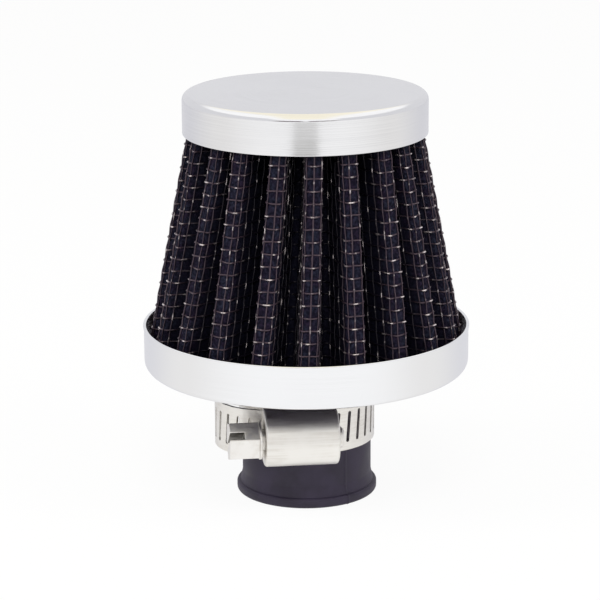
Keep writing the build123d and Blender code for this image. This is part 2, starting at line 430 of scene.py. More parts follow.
@dataclass(frozen=True)
class RubberFinish(Finish):
    """Satin moulded rubber with a faint bloom."""

    dark: Colour = (0.024, 0.019, 0.034, 1.0)
    bloom: Colour = (0.042, 0.034, 0.06, 1.0)
    specular: float = 0.3
    roughness: Span = (0.42, 0.56)
    noise_span: Span = (0.3, 0.7)
    bloom_scale: float = 220.0
    grain_scale: float = 5200.0
    grain_strength: float = 0.25
    grain_height: float = 0.02 * MM

    def wire(self, wiring: Wiring) -> None:
        """Wires the bloom into colour and gloss, and a fine grain into relief.

        Args:
            wiring: The material's wiring.
        """
        place = wiring.coords()
        bloom = wiring.blotches(place, self.bloom_scale, self.noise_span)
        grain = wiring.blotches(place, self.grain_scale, self.noise_span)
        wiring.surface(
            Base_Color=wiring.blend(bloom, self.dark, self.bloom),
            Specular_IOR_Level=self.specular,
            Roughness=wiring.between(bloom, self.roughness),
            Normal=wiring.bump(grain, self.grain_strength, self.grain_height),
        )


@dataclass(frozen=True)
class GauzeFinish(Finish):
    """Dark oiled cotton gauze, woven finer than the screen before it, with painted shade that darkens it deep
    in the grooves.
    """

    # The darkest colour, in the gaps of the weave and in the painted shade of the grooves.
    pit_and_painted_shade: Colour = (0.003, 0.003, 0.008, 1.0)
    thread: Colour = (0.034, 0.04, 0.072, 1.0)
    stain: Colour = (0.034, 0.02, 0.048, 1.0)
    # Painted shade: share of the colour kept deep in a groove and on a crest.
    painted_groove_shade: Span = (0.2, 1.0)
    thread_pitch: float = 0.3 * MM
    stain_scale: float = 700.0
    fluff_scale: float = 2600.0
    fluff_span: Span = (0.3, 0.75)
    specular: float = 0.08
    roughness: Span = (0.85, 0.6)
    relief: float = 0.6
    relief_height: float = 0.06 * MM

    def wire(self, wiring: Wiring) -> None:
        """Wires the weave on the flat sheet's own map, which is in metres.

        Args:
            wiring: The material's wiring.
        """
        flat = wiring.parts(wiring.coords("UV"))
        waves = [wiring.math("SINE", wiring.times(flat[axis], 2 * pi / self.thread_pitch)) for axis in (0, 1)]
        weave = wiring.spread(wiring.times(*waves), (-1.0, 1.0))
        place = wiring.coords()
        fluff = wiring.blotches(place, self.fluff_scale, self.fluff_span)
        hue = wiring.blend(wiring.blotches(place, self.stain_scale), self.thread, self.stain)
        # Painted shade: the colour dims to a fifth deep in the grooves, by the mesh's crest value, on top of
        # the random fluff.
        shade = wiring.times(fluff, wiring.between(wiring.attribute("crest"), self.painted_groove_shade))
        wiring.surface(
            Base_Color=wiring.blend(wiring.times(weave, shade), self.pit_and_painted_shade, hue),
            Roughness=wiring.between(fluff, self.roughness),
            Specular_IOR_Level=self.specular,
            Normal=wiring.bump(wiring.math("ADD", weave, fluff), self.relief, self.relief_height),
        )


@dataclass(frozen=True)
class WireFinish(Finish):
    """Dark coated wire, bare and bright where it bows out over a crossing, partly worn coat and partly
    painted glint.
    """

    coat: Colour = (0.056, 0.036, 0.05, 1.0)
    # Painted shade: the coat of wires deep in the grooves.
    painted_groove_coat: Colour = (0.008, 0.006, 0.012, 1.0)
    # Bare metal where the coat is worn, which also serves as a painted glint.
    worn_and_glint_colour: Colour = (0.78, 0.7, 0.7, 1.0)
    crest_level: float = 0.6
    groove_level: float = 0.7
    softness: float = 0.08
    patch_scale: float = 900.0
    bow_span: Span = (0.55, 0.95)
    metallic: Span = (0.25, 0.9)
    roughness: Span = (0.36, 0.18)

    def wire(self, wiring: Wiring) -> None:
        """Wires the finish on the mesh's bow, 1 over a crossing, and crest, 1 on the crest of a pleat, below
        which the coat takes painted shade.

        Args:
            wiring: The material's wiring.
        """
        place = wiring.coords()
        crest = wiring.attribute("crest")
        # Patches of bare metal, partly wear and partly painted glints, with their own density on crests and
        # in grooves.
        outside = wiring.blotches(place, self.patch_scale,
                                  (self.crest_level - self.softness, self.crest_level + self.softness))
        inside = wiring.blotches(place, self.patch_scale,
                                 (self.groove_level - self.softness, self.groove_level))
        share = wiring.add("ShaderNodeMix", {0: crest, 2: inside, 3: outside}, data_type="FLOAT").outputs[0]
        worn_and_glint = wiring.times(wiring.spread(wiring.attribute("bow"), self.bow_span), share)
        # Painted shade: wires towards the grooves take the darker coat.
        coat = wiring.blend(crest, self.painted_groove_coat, self.coat)
        wiring.surface(
            Base_Color=wiring.blend(worn_and_glint, coat, self.worn_and_glint_colour),
            Metallic=wiring.between(worn_and_glint, self.metallic),
            Roughness=wiring.between(worn_and_glint, self.roughness),
        )


@dataclass(frozen=True)
class SteelFinish(Finish):
    """Satin stainless steel with a fine grain along one direction."""

    bright: Colour = (0.93, 0.91, 0.87, 1.0)
    dull: Colour = (0.84, 0.81, 0.76, 1.0)
    roughness: Span = (0.36, 0.5)
    stretch: Place = (900.0, 900.0, 900.0)
    turn: float = 0.0
    grain_span: Span = (0.3, 0.7)
    grain_strength: float = 0.1
    grain_height: float = 0.01 * MM
    cloud_scale: float = 260.0

    def wire(self, wiring: Wiring) -> None:
        """Wires the grain into colour, gloss and relief.

        Args:
            wiring: The material's wiring.
        """
        place = wiring.coords()
        mapping = {"Vector": place, "Rotation": (0.0, 0.0, -self.turn), "Scale": self.stretch}
        along = wiring.add("ShaderNodeMapping", mapping).outputs[0]
        grain = wiring.blotches(along, 1.0, self.grain_span)
        cloud = wiring.blotches(place, self.cloud_scale)
        wiring.surface(
            Base_Color=wiring.blend(wiring.times(grain, cloud), self.bright, self.dull),
            Metallic=1.0,
            Roughness=wiring.between(grain, self.roughness),
            Normal=wiring.bump(grain, self.grain_strength, self.grain_height),
        )


@dataclass
class TopCap:
    """Pressed cup over the pleats' top ends."""

    wall: float = 0.4 * MM
    corner_radius: float = 1.1 * MM
    rim_radius: float = 0.15 * MM
    steps: int = 192
    finish: Finish = ChromeFinish("cap_chrome")

    def shell(self) -> BMesh:
        """Turns the cup from its outline.

        Returns:
            The cup's mesh.
        """
        low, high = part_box("top_cap")
        bore = high.x - self.wall
        under = high.z - self.wall
        corners = [(0, high.z), (high.x, high.z), (high.x, low.z), (bore, low.z), (bore, under), (0, under)]
        rounds = [0, self.corner_radius, self.rim_radius, self.rim_radius, self.corner_radius - self.wall, 0]
        return turned(corners, rounds, self.steps)

    def dress(self) -> list[Object]:
        """Builds the cup and its finish."""
        chrome = self.finish.material()
        return [add_piece("cap_cup", self.shell(), [chrome], Body.FILTER, ["top_cap"])]


@dataclass
class BaseRing:
    """Pressed band round the foot of the pleats, with a lip turned in below."""

    outer_radius: float = 25.5 * MM
    wall: float = 0.5 * MM
    flare: float = 0.15 * MM
    flare_height: float = 1.0 * MM
    corner_radius: float = 1.4 * MM
    lip_width: float = 3.0 * MM
    edge_radius: float = 0.2 * MM
    steps: int = 192
    finish: Finish = ChromeFinish("ring_chrome", (0.905, 0.91, 0.925, 1.0), (0.885, 0.89, 0.905, 1.0),
                                  (0.09, 0.13), 0.02)

    def shell(self) -> BMesh:
        """Turns the band from its outline.

        Returns:
            The band's mesh.
        """
        low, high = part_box("base_ring")
        bore = self.outer_radius - self.wall
        lip = bore - self.lip_width
        flare_start = high.z - self.flare_height
        inner_corner = self.corner_radius - self.wall
        corners = [
            (lip, low.z),
            (self.outer_radius, low.z),
            (self.outer_radius, flare_start),
            (self.outer_radius + self.flare, high.z),
            (bore + self.flare, high.z),
            (bore, flare_start),
            (bore, low.z + self.wall),
            (lip, low.z + self.wall),
        ]
        rounds = [0, self.corner_radius, 0, self.edge_radius, self.edge_radius, 0, inner_corner, 0]
        return turned(corners, rounds, self.steps)

    def dress(self) -> list[Object]:
        """Builds the band and its finish."""
        chrome = self.finish.material()
        return [add_piece("ring_band", self.shell(), [chrome], Body.FILTER, ["base_ring"])]


@dataclass
class RubberBase:
    """Moulded spigot with a rim, a parting line on both sides and the flange inside the ring."""

    spigot_radius: float = 10.2 * MM
    rim_radius: float = 11.1 * MM
    rim_height: float = 1.6 * MM
    rim_rise: float = 0.02 * MM
    flare_foot: float = 0.35 * MM
    flare_height: float = 1.6 * MM
    bore: float = 6.0 * MM
    bore_chamfer: float = 0.6 * MM
    throat: float = 9.0 * MM
    collar_inner: float = 14.2 * MM
    collar_wall: float = 2.0 * MM
    collar_height: float = 1.5 * MM
    bore_round: float = 0.2 * MM
    foot_round: float = 0.5 * MM
    rim_round: float = 0.45 * MM
    flare_round: float = 0.2 * MM
    neck_round: float = 1.2 * MM
    root_radius: float = 1.2 * MM
    ring_wall: float = 0.5 * MM
    lip_bore: float = 21.95 * MM
    parting_angle: float = radians(36)
    parting_height: float = 0.15 * MM
    parting_inside: float = 8.0 * MM
    steps: int = 320
    finish: Finish = RubberFinish("satin_rubber")

    def moulding(self) -> BMesh:
        """Turns the moulding from its outline.

        Returns:
            The moulding's mesh.
        """
        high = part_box("rubber_base")[1]
        ring_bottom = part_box("base_ring")[0].z
        flange_top = high.z - self.collar_height
        collar_outer = self.collar_inner + self.collar_wall
        corners = [
            (self.bore + self.bore_chamfer, 0),
            (self.rim_radius, 0),
            (self.rim_radius, self.rim_height),
            (self.spigot_radius + self.flare_foot, self.rim_height + self.rim_rise),
            (self.spigot_radius, self.rim_height + self.flare_height),
            (self.spigot_radius, ring_bottom),
            (self.lip_bore, ring_bottom),
            (self.lip_bore, ring_bottom + self.ring_wall),
            (high.x, ring_bottom + self.ring_wall),
            (high.x, flange_top),
            (collar_outer, flange_top),
            (collar_outer, high.z),
            (self.collar_inner, high.z),
            (self.collar_inner, flange_top),
            (self.throat, flange_top),
            (self.bore, ring_bottom - self.root_radius),
            (self.bore, self.bore_chamfer),
        ]
        rounds = [self.bore_round, self.foot_round, self.rim_round, self.flare_round, self.neck_round,
                  self.root_radius]
        rounds += [0] * (len(corners) - len(rounds))
        bm = turned(corners, rounds, self.steps)
        self.raise_parting(bm, ring_bottom)
        return bm

    def raise_parting(self, bm: BMesh, top: float) -> None:
        """Raises the parting lines, one step of the turn wide, on the outside of the spigot.

        Args:
            bm: The turned moulding.
            top: Level that the lines end below.
        """
        for vert in bm.verts:
            radius = hypot(vert.co.x, vert.co.y)
            outside = self.parting_inside < radius < self.rim_radius + WELD and WELD < vert.co.z < top
            turn = (atan2(vert.co.x, -vert.co.y) - self.parting_angle) % pi
            if outside and min(turn, pi - turn) < pi / self.steps:
                vert.co.xy *= 1 + self.parting_height / radius

    def dress(self) -> list[Object]:
        """Builds the moulding, and dresses the hidden end disc with the same rubber.

        Returns:
            The new piece.
        """
        rubber = self.finish.material()
        frame["nodes"]["end_disc"].data.materials.clear()
        frame["nodes"]["end_disc"].data.materials.append(rubber)
        moulding = self.moulding()
        return [add_piece("spigot_moulding", moulding, [rubber], Body.FILTER, ["rubber_base"])]


@dataclass(frozen=True)
class PleatFold:
    """The folds that turn a flat sheet into the pleat pack.

    The flat sheet is measured along, from the middle of the rear valley; in height; and out from the face of
    the outermost wires, so that what lies behind that face is below 0.
    """

    low: float
    high: float
    count: int = 20
    depth: float = 7.0 * MM
    crest_width: float = 3.0 * MM
    flank_length: float = 7.1 * MM
    valley_width: float = 0.7 * MM
    crest_bend: float = 1.0 * MM
    valley_bend: float = 0.3 * MM
    foot_radius: float = 24.78 * MM
    slope: float = -0.1895
    front_angle: float = radians(0.6)
    twist: float = radians(3.9)
    sway: float = radians(-1.7)
    sway_step: float = 2.6

    @property
    def height(self) -> float:
        """Height of the pack."""
        return self.high - self.low

    @property
    def half_pleat(self) -> float:
        """Length of flat sheet from a crest's middle to a valley's middle."""
        return self.crest_width / 2 + self.flank_length + self.valley_width / 2

    @property
    def length(self) -> float:
        """Length of the whole flat sheet."""
        return 2 * self.half_pleat * self.count

    @property
    def front_crest(self) -> float:
        """Place of the front crest's middle along the flat sheet."""
        return self.length / 2 + self.half_pleat

    def crest_radius(self, height: float) -> float:
        """Radius of the crests at a level."""
        return self.foot_radius + self.slope * (height - self.low)

    def crest_angle(self, pleat: int, share: float) -> float:
        """Finds a crest's angle round the axis; real folds sway a little at the top.

        Args:
            pleat: Number of the pleat from the front, past the rear too.
            share: Share of the height.

        Returns:
            The angle.
        """
        turns, index = divmod(pleat + self.count // 2, self.count)
        index -= self.count // 2
        sway = self.sway * sin(self.sway_step * index) * share
        return self.front_angle + self.twist * share + 2 * pi * (index / self.count + turns) + sway

    def half_section(self, reach: float, radius: float, half_pitch: float) -> tuple[Vector, Vector]:
        """Finds a point of the fold between a crest's middle and the next valley's.

        Args:
            reach: Length of flat sheet from the crest's middle.
            radius: Radius of the crest.
            half_pitch: Angle from crest to valley.

        Returns:
            The point and the outward normal, across and outwards in the crest's own frame.
        """
        ray = Vector((sin(half_pitch), cos(half_pitch)))
        across = Vector((ray.y, -ray.x))
        corner = Vector((self.crest_width / 2, radius))
        edge = ray * (radius - self.depth) - across * (self.valley_width / 2)
        flank = (edge - corner) / self.flank_length
        crest = Vector((1.0, 0.0))
        past_corner = reach - self.crest_width / 2
        past_edge = past_corner - self.flank_length
        if past_corner < -self.crest_bend:
            point, along = corner + crest * past_corner, crest
        elif past_corner < self.crest_bend:
            point, along = bent(corner, crest, flank, past_corner, self.crest_bend)
        elif past_edge < -self.valley_bend:
            point, along = corner + flank * past_corner, flank
        elif past_edge < self.valley_bend:
            point, along = bent(edge, flank, across, past_edge, self.valley_bend)
        else:
            point, along = edge + across * past_edge, across
        return point, Vector((-along.y, along.x)).normalized()

    def place(self, along: float, height: float, out: float) -> Vector:
        """Finds where a point of the flat sheet lies in the folded pack.

        Args:
            along: Distance along the sheet.
            height: Level above the origin.
            out: Distance out from the face of the outermost wires.

        Returns:
            The point in the part's frame.
        """
        share = (height - self.low) / self.height
        pleat = floor(along / (2 * self.half_pleat))
        reach = along - (2 * pleat + 1) * self.half_pleat
        side = 1 if reach >= 0 else -1
        pleat -= self.count // 2
        here = self.crest_angle(pleat, share)
        half_pitch = side * (self.crest_angle(pleat + side, share) - here) / 2
        radius = self.crest_radius(height)
        point, normal = self.half_section(abs(reach), radius, half_pitch)
        point += normal * out
        across = side * point.x
        x = point.y * sin(here) + across * cos(here)
        y = across * sin(here) - point.y * cos(here)
        return Vector((x, y, height))


def bent(corner: Vector, before: Vector, after: Vector, past: float, bend: float) -> tuple[Vector, Vector]:
    """Rounds a corner between two directions.

    Args:
        corner: The sharp corner.
        before: Direction and speed of arrival.
        after: Direction and speed of departure.
        past: Distance past the corner, from -bend to bend.
        bend: Reach of the rounding on each side.

    Returns:
        The point on the rounding and its direction.
    """
    share = (past + bend) / (2 * bend)
    start = corner - before * bend
    end = corner + after * bend
    point = start * (1 - share) ** 2 + corner * (2 * share * (1 - share)) + end * share ** 2
    return point, before * (1 - share) + after * share


@dataclass
class PleatPack:
    """Gauze between two wire screens, folded together."""

    warp_count: int = 224
    warp_spans: int = 3
    warp_crimp: float = 0.07 * MM
    weft_spans: int = 4
    weft_crimp: float = 0.15 * MM
    row_pitch: float = 1.85 * MM
    first_row: float = 0.35 * MM
    wire_radius: float = 0.125 * MM
    wire_sides: int = 5
    gauze_depth: float = 0.42 * MM
    gauze_thickness: float = 0.14 * MM
    gauze_cuts: int = 3
    pillow: float = 0.2 * MM
    lining_depth: float = 0.7 * MM
    lining_thickness: float = 0.12 * MM
    lining_cuts: int = 20
    lining_rows: int = 4
    crest_reach: float = 2.4 * MM
    crest_margin: float = 1.2
    gauze_finish: Finish = GauzeFinish("oiled_gauze")
    warp_finish: Finish = WireFinish("warp_wire", crest_level=0.62, groove_level=0.63)
    weft_finish: Finish = WireFinish("weft_wire", crest_level=0.545, groove_level=0.78)
    fold: PleatFold = field(init=False)
    warp_pitch: float = field(init=False)
    rows: int = field(init=False)

    def __post_init__(self) -> None:
        """Takes the folds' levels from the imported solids."""
        low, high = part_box("filter_gauze")
        self.fold = PleatFold(low.z, high.z)
        self.warp_pitch = self.fold.length / self.warp_count
        self.rows = int((self.fold.height - self.first_row) / self.row_pitch) + 1

    def wire_number(self, along: float) -> float:
        """Counts the upright wires up to a place along the sheet, from the front crest."""
        return (along - self.fold.front_crest) / self.warp_pitch

    def row_number(self, level: float) -> float:
        """Counts the level wires up to a level."""
        return (level - self.fold.low - self.first_row) / self.row_pitch

    def puff(self, along: float, level: float) -> float:
        """How far the gauze swells between the wires, from 0 at a wire to 1 in the middle of a cell."""
        return sqrt(abs(sin(pi * self.wire_number(along)) * sin(pi * self.row_number(level))))

    def crest_share(self, point: Vector) -> float:
        """How near a point lies to the crests, from 0 deep in a groove to 1 on a crest."""
        sunk = self.fold.crest_radius(point.z) - hypot(point.x, point.y)
        return min(max(self.crest_margin - sunk / self.crest_reach, 0.0), 1.0)

    def flat_sheet(self, across: int, up: int, thickness: float) -> BMesh:
        """Makes a thin flat sheet, closed but for the two ends that meet, with its own map in metres.

        Args:
            across: Spans along its length.
            up: Spans in its height.
            thickness: How far it reaches behind its face.

        Returns:
            The sheet, along X and in height along Z, with its face at Y = 0 and the rest behind it.
        """
        length, height = self.fold.length, self.fold.height
        stand = Matrix(((length, 0, 0, length / 2), (0, 0, 1, 0), (0, height, 0, self.fold.low + height / 2),
                        (0, 0, 0, 1)))
        bm = bmesh.new()
        bmesh.ops.create_grid(bm, x_segments=across, y_segments=up, size=0.5, matrix=stand)
        bmesh.ops.solidify(bm, geom=bm.faces[:], thickness=thickness)
        middle = sum(vert.co.y for vert in bm.verts) / len(bm.verts)
        bmesh.ops.translate(bm, verts=bm.verts[:], vec=(0, -middle - thickness / 2, 0))
        ends = [face for face in bm.faces if abs(face.normal.x) > 0.9]
        bmesh.ops.delete(bm, geom=ends, context="FACES_ONLY")
        layer = bm.loops.layers.uv.new("flat")
        for face in bm.faces:
            for loop in face.loops:
                loop[layer].uv = (loop.vert.co.x, loop.vert.co.z)
        return bm

    def fold_sheet(self, bm: BMesh, depth: float, pillow: float) -> None:
        """Folds a flat sheet into the pack and joins its ends.

        Args:
            bm: The flat sheet.
            depth: Depth of its face behind the outermost wires.
            pillow: Height of its swellings between the wires.
        """
        crest = bm.verts.layers.float.new("crest")
        for vert in bm.verts:
            along, behind, height = vert.co
            swell = pillow * self.puff(along, height) if behind > -WELD else 0.0
            vert.co = self.fold.place(along, height, behind - depth + swell)
            vert[crest] = self.crest_share(vert.co)
        weld(bm)

    def lay_wires(self, tube: Mesh, count: int, bend: Callable[[int, Vector], tuple[Vector, float]]) -> BMesh:
        """Copies a straight tube and bends each copy to its place.

        Args:
            tube: The straight tube, removed here.
            count: Number of copies.
            bend: Maps a copy's number and a point of the tube to the point's place and its bow from 0 to 1.

        Returns:
            All the copies in one mesh, which carries the bow and the nearness to a crest.
        """
        bm = bmesh.new()
        bow = bm.verts.layers.float.new("bow")
        crest = bm.verts.layers.float.new("crest")
        for number in range(count):
            start = len(bm.verts)
            bm.from_mesh(tube)
            for vert in bm.verts[start:]:
                vert.co, vert[bow] = bend(number, vert.co)
                vert[crest] = self.crest_share(vert.co)
        bpy.data.meshes.remove(tube)
        weld(bm, WELD / 10)
        return bm

    def warp_point(self, wire: int, point: Vector) -> tuple[Vector, float]:
        """Bends a point of an upright wire, which lies along the folds.

        Args:
            wire: Number of the wire.
            point: Point of the straight tube.

        Returns:
            The point's place and bow.
        """
        level = self.fold.low + self.fold.height / 2 + point.z
        bow = cos(pi * (self.row_number(level) + wire))
        along = self.fold.front_crest + wire * self.warp_pitch + point.x
        out = self.warp_crimp * bow + point.y - 2 * self.wire_radius
        return self.fold.place(along % self.fold.length, level, out), (1 + bow) / 2

    def weft_point(self, row: int, point: Vector) -> tuple[Vector, float]:
        """Bends a point of a level wire, which goes round the pack over and under the upright ones.

        Args:
            row: Number of the wire.
            point: Point of the straight tube.

        Returns:
            The point's place and bow.
        """
        along = self.fold.length / 2 + point.z
        bow = -cos(pi * (self.wire_number(along) + row))
        level = self.fold.low + self.first_row + row * self.row_pitch + point.x
        out = self.weft_crimp * bow + point.y - 2 * self.wire_radius
        inside = min(max(along, 0.0), self.fold.length)
        return self.fold.place(inside, level, out), (1 + bow) / 2

    def dress(self) -> list[Object]:
        """Builds the gauze, the woven outer screen and the lining.

        Returns:
            The new pieces.
        """
        gauze = self.flat_sheet(self.gauze_cuts * self.warp_count, self.gauze_cuts * self.rows,
                                self.gauze_thickness)
        self.fold_sheet(gauze, self.gauze_depth, self.pillow)
        upright = straight_tube(self.wire_radius, self.fold.height, self.wire_sides,
                                self.warp_spans * self.rows)
        level = straight_tube(self.wire_radius, self.fold.length, self.wire_sides,
                              self.weft_spans * self.warp_count)
        warp = self.lay_wires(upright, self.warp_count, self.warp_point)
        weft = self.lay_wires(level, self.rows, self.weft_point)
        lining = self.flat_sheet(self.lining_cuts * self.fold.count, self.lining_rows, self.lining_thickness)
        self.fold_sheet(lining, self.lining_depth, 0.0)
        cotton = self.gauze_finish.material()
        wire = self.warp_finish.material()
        cross_wire = self.weft_finish.material()
        return [
            add_piece("pleated_gauze", gauze, [cotton], Body.FILTER, ["filter_gauze"], soft=True),
            add_piece("screen_warp", warp, [wire], Body.FILTER, ["outer_screen"], soft=True),
            add_piece("screen_weft", weft, [cross_wire], Body.FILTER, ["outer_screen"], soft=True),
            add_piece("screen_lining", lining, [wire], Body.FILTER, ["inner_screen"], soft=True),
        ]


@dataclass(frozen=True)
class BandPath:
    """Middle line of the clamp's band: round the spigot, out over its own start, straight, then the tail."""

    loop_radius: float
    straight_offset: float
    start_angle: float = radians(-2)
    step_angle: float = radians(22)
    step_radius: float = 5.0 * MM
    straight_reach: float = 6.6 * MM
    tail_radius: float = 8.0 * MM
    tail_sweep: float = radians(111)

    def legs(self) -> list[tuple[float, float]]:
        """Lists the legs in turn.

        Returns:
            Length and bending radius of each leg, with 0 for a straight one.
        """
        rise = self.straight_offset - self.loop_radius * cos(self.step_angle)
        slant = rise / sin(self.step_angle)
        corner = self.loop_radius * sin(self.step_angle) - rise / tan(self.step_angle)
        cut = self.step_radius * tan(self.step_angle / 2)
        return [
            (self.loop_radius * (2 * pi + self.start_angle - self.step_angle), self.loop_radius),
            (slant - cut, 0.0),
            (self.step_radius * self.step_angle, self.step_radius),
            (corner + self.straight_reach - cut, 0.0),
            (self.tail_radius * self.tail_sweep, self.tail_radius),
        ]

    @property
    def length(self) -> float:
        """Length of the whole line."""
        return sum(length for length, _ in self.legs())

    def at(self, distance: float) -> tuple[Vector, Vector]:
        """Walks along the line.

        Args:
            distance: Distance from the end under the housing.

        Returns:
            The point there and the normal that points away from the spigot.
        """
        point = Vector((sin(self.start_angle), -cos(self.start_angle))) * self.loop_radius
        heading = pi + self.start_angle
        for length, radius in self.legs():
            step = min(distance, length)
            if radius:
                side = Vector((sin(heading), -cos(heading))) * radius
                heading -= step / radius
                point += side - Vector((sin(heading), -cos(heading))) * radius
            else:
                point += Vector((cos(heading), sin(heading))) * step
            distance -= step
            if distance <= 0:
                break
        return point, Vector((-sin(heading), cos(heading)))


@dataclass
class WormClamp:
    """Slotted band, pressed housing and worm screw, laid out along X and then turned to their place."""

    spigot_radius: float = 10.2 * MM
    band_width: float = 7.6 * MM
    band_thickness: float = 0.5 * MM
    band_clearance: float = 0.05 * MM
    band_edge: float = 0.08 * MM
    band_spans: int = 64
    overlap_gap: float = 0.1 * MM
    slot_length: float = 5.0 * MM
    slot_width: float = 0.6 * MM
    slot_pitch: float = 2.0 * MM
    slot_lean: float = radians(5)
    slot_margin: float = 1.85 * MM
    slot_count: int = 19
    slot_sides: int = 16
    housing_length: float = 11.4 * MM
    housing_shift: float = -2.6 * MM
    housing_wall: float = 0.5 * MM
    housing_end_radius: float = 0.45 * MM
    housing_drop: float = 0.7 * MM
    side_clearance: float = 0.1 * MM
    arch_clearance: float = 0.2 * MM
    arch_steps: int = 24
    worm_radius: float = 2.8 * MM
    worm_root_radius: float = 2.2 * MM
    worm_clearance: float = 0.15 * MM
    worm_end_gap: float = 0.3 * MM
    ridge_root: float = 0.6 * MM
    ridge_crest: float = 0.24 * MM
    ridge_sunk: float = 0.1 * MM
    ridge_steps: int = 28
    journal_radius: float = 1.6 * MM
    journal_clearance: float = 0.15 * MM
    journal_sides: int = 28
    collar_radius: float = 2.95 * MM
    collar_thickness: float = 0.4 * MM
    collar_gap: float = 0.5 * MM
    collar_round: float = 0.1 * MM
    screw_steps: int = 48
    head_flats: float = 5.5 * MM
    head_length: float = 4.6 * MM
    head_turn: float = radians(41.4)
    head_edge: float = 0.12 * MM
    driver_width: float = 1.2 * MM
    driver_depth: float = 2.3 * MM
    driver_turn: float = radians(56)
    tip_protrusion: float = 0.8 * MM
    tip_chamfer: float = 0.3 * MM
    plating: Finish = SteelFinish("screw_plating", bright=(0.94, 0.92, 0.89, 1.0), roughness=(0.42, 0.55))
    # Painted shade: the inside of the driver slot gets a much darker steel, which stands in for the shade
    # deep in it.
    painted_slot_shade: Finish = SteelFinish("slot_painted_shade", bright=(0.2, 0.185, 0.16, 1.0), dull=(0.1, 0.09, 0.075, 1.0))
    band_grain: Place = (300.0, 300.0, 5000.0)
    housing_grain: Place = (60.0, 900.0, 4000.0)
    housing_roughness: Span = (0.44, 0.54)
    turn: float = field(init=False)
    level: float = field(init=False)
    straight_inner: float = field(init=False)
    straight_outer: float = field(init=False)
    screw_offset: float = field(init=False)
    path: BandPath = field(init=False)

    def __post_init__(self) -> None:
        """Works out the layout, and takes the clamp's level and turn from the screw's joint."""
        joint = frame["joints"][0]
        self.turn = atan2(joint["axis"][1], joint["axis"][0])
        self.level = joint["pos_m"][2]
        loop = self.spigot_radius + self.band_clearance + self.band_thickness / 2
        self.straight_inner = loop + self.band_thickness / 2 + self.overlap_gap
        self.straight_outer = self.straight_inner + self.band_thickness
        self.screw_offset = self.straight_outer + self.worm_clearance + self.worm_radius
        self.path = BandPath(loop, self.straight_inner + self.band_thickness / 2)

    @property
    def left(self) -> float:
        """Place of the housing's left end along the screw."""
        return self.housing_shift - self.housing_length / 2

    @property
    def right(self) -> float:
        """Place of the housing's right end along the screw."""
        return self.housing_shift + self.housing_length / 2

    def seat(self, bm: BMesh) -> None:
        """Turns a mesh to its place round the spigot.

        Args:
            bm: Mesh laid out with the screw along X.
        """
        matrix = Matrix.Translation((0, 0, self.level)) @ Matrix.Rotation(self.turn, 4, "Z")
        bmesh.ops.transform(bm, matrix=matrix, verts=bm.verts[:])
        bmesh.ops.recalc_face_normals(bm, faces=bm.faces[:])

    def rectangle(self, bm: BMesh, start: float, end: float, spans: int) -> list[BMVert]:
        """Adds a stretch of flat band without slots.

        Args:
            bm: Mesh of the flat band.
            start: Where it starts along the band.
            end: Where it ends.
            spans: Spans along it.

        Returns:
            Its vertices.
        """
        size = Matrix.Diagonal((end - start, self.band_width, 1, 1))
        stand = Matrix.Translation(((start + end) / 2, 0, 0)) @ size
        return bmesh.ops.create_grid(bm, x_segments=spans, y_segments=1, size=0.5, matrix=stand)["verts"]

    def slotted_cell(self, bm: BMesh, centre: float) -> None:
        """Adds one pitch of flat band with a leaning, round-ended slot through it.

        Args:
            bm: Mesh of the flat band.
            centre: Place of the slot along the band.
        """
        cell = self.rectangle(bm, centre - self.slot_pitch / 2, centre + self.slot_pitch / 2, 1)
        rim = edges_at(cell)
        faces = list({face for vert in cell for face in vert.link_faces})
        bmesh.ops.delete(bm, geom=faces, context="FACES_ONLY")
        level = [edge for edge in rim if abs(edge.verts[0].co.y - edge.verts[1].co.y) < WELD]
        cut = bmesh.ops.subdivide_edges(bm, edges=level, cuts=2)["geom_split"]
        rim = list(set(rim + [item for item in cut if isinstance(item, BMEdge)]))
        radius = self.slot_width / 2
        hole = bmesh.ops.create_circle(bm, cap_ends=False, segments=self.slot_sides, radius=radius,
                                       matrix=Matrix.Rotation(pi / self.slot_sides, 4, "Z"))["verts"]
        for vert in hole:
            vert.co.y += (1 if vert.co.y > 0 else -1) * (self.slot_length / 2 - radius)
        place = Matrix.Translation((centre, 0, 0)) @ Matrix.Rotation(self.slot_lean, 4, "Z")
        bmesh.ops.transform(bm, matrix=place, verts=hole)
        bmesh.ops.bridge_loops(bm, edges=rim + edges_at(hole))

    def flat_strip(self) -> BMesh:
        """Makes the band flat.

        Returns:
            The band along X, its width along Y and its thickness about Z = 0.
        """
        length = self.path.length
        cells_end = length - self.slot_margin + self.slot_pitch / 2
        bm = bmesh.new()
        self.rectangle(bm, 0.0, cells_end - self.slot_count * self.slot_pitch, self.band_spans)
        self.rectangle(bm, cells_end, length, 1)
        for index in range(self.slot_count):
            self.slotted_cell(bm, cells_end - (index + 0.5) * self.slot_pitch)
        weld(bm)
        bmesh.ops.solidify(bm, geom=bm.faces[:], thickness=self.band_thickness)
        middle = sum(vert.co.z for vert in bm.verts) / len(bm.verts)
        bmesh.ops.translate(bm, verts=bm.verts[:], vec=(0, 0, -middle))
        rim = self.band_width / 2 - WELD
        edges = [edge for edge in bm.edges if all(abs(vert.co.y) > rim for vert in edge.verts)
                 and abs(edge.verts[0].co.z - edge.verts[1].co.z) < WELD]
        round_edges(bm, edges, self.band_edge, 2)
        return bm

    def band(self) -> BMesh:
        """Bends the flat band along its path.

        Returns:
            The band's mesh.
        """
        bm = self.flat_strip()
        for vert in bm.verts:
            along, height, out = vert.co
            point, normal = self.path.at(along)
            vert.co = (*(point + normal * out), height)
        self.seat(bm)
        return bm

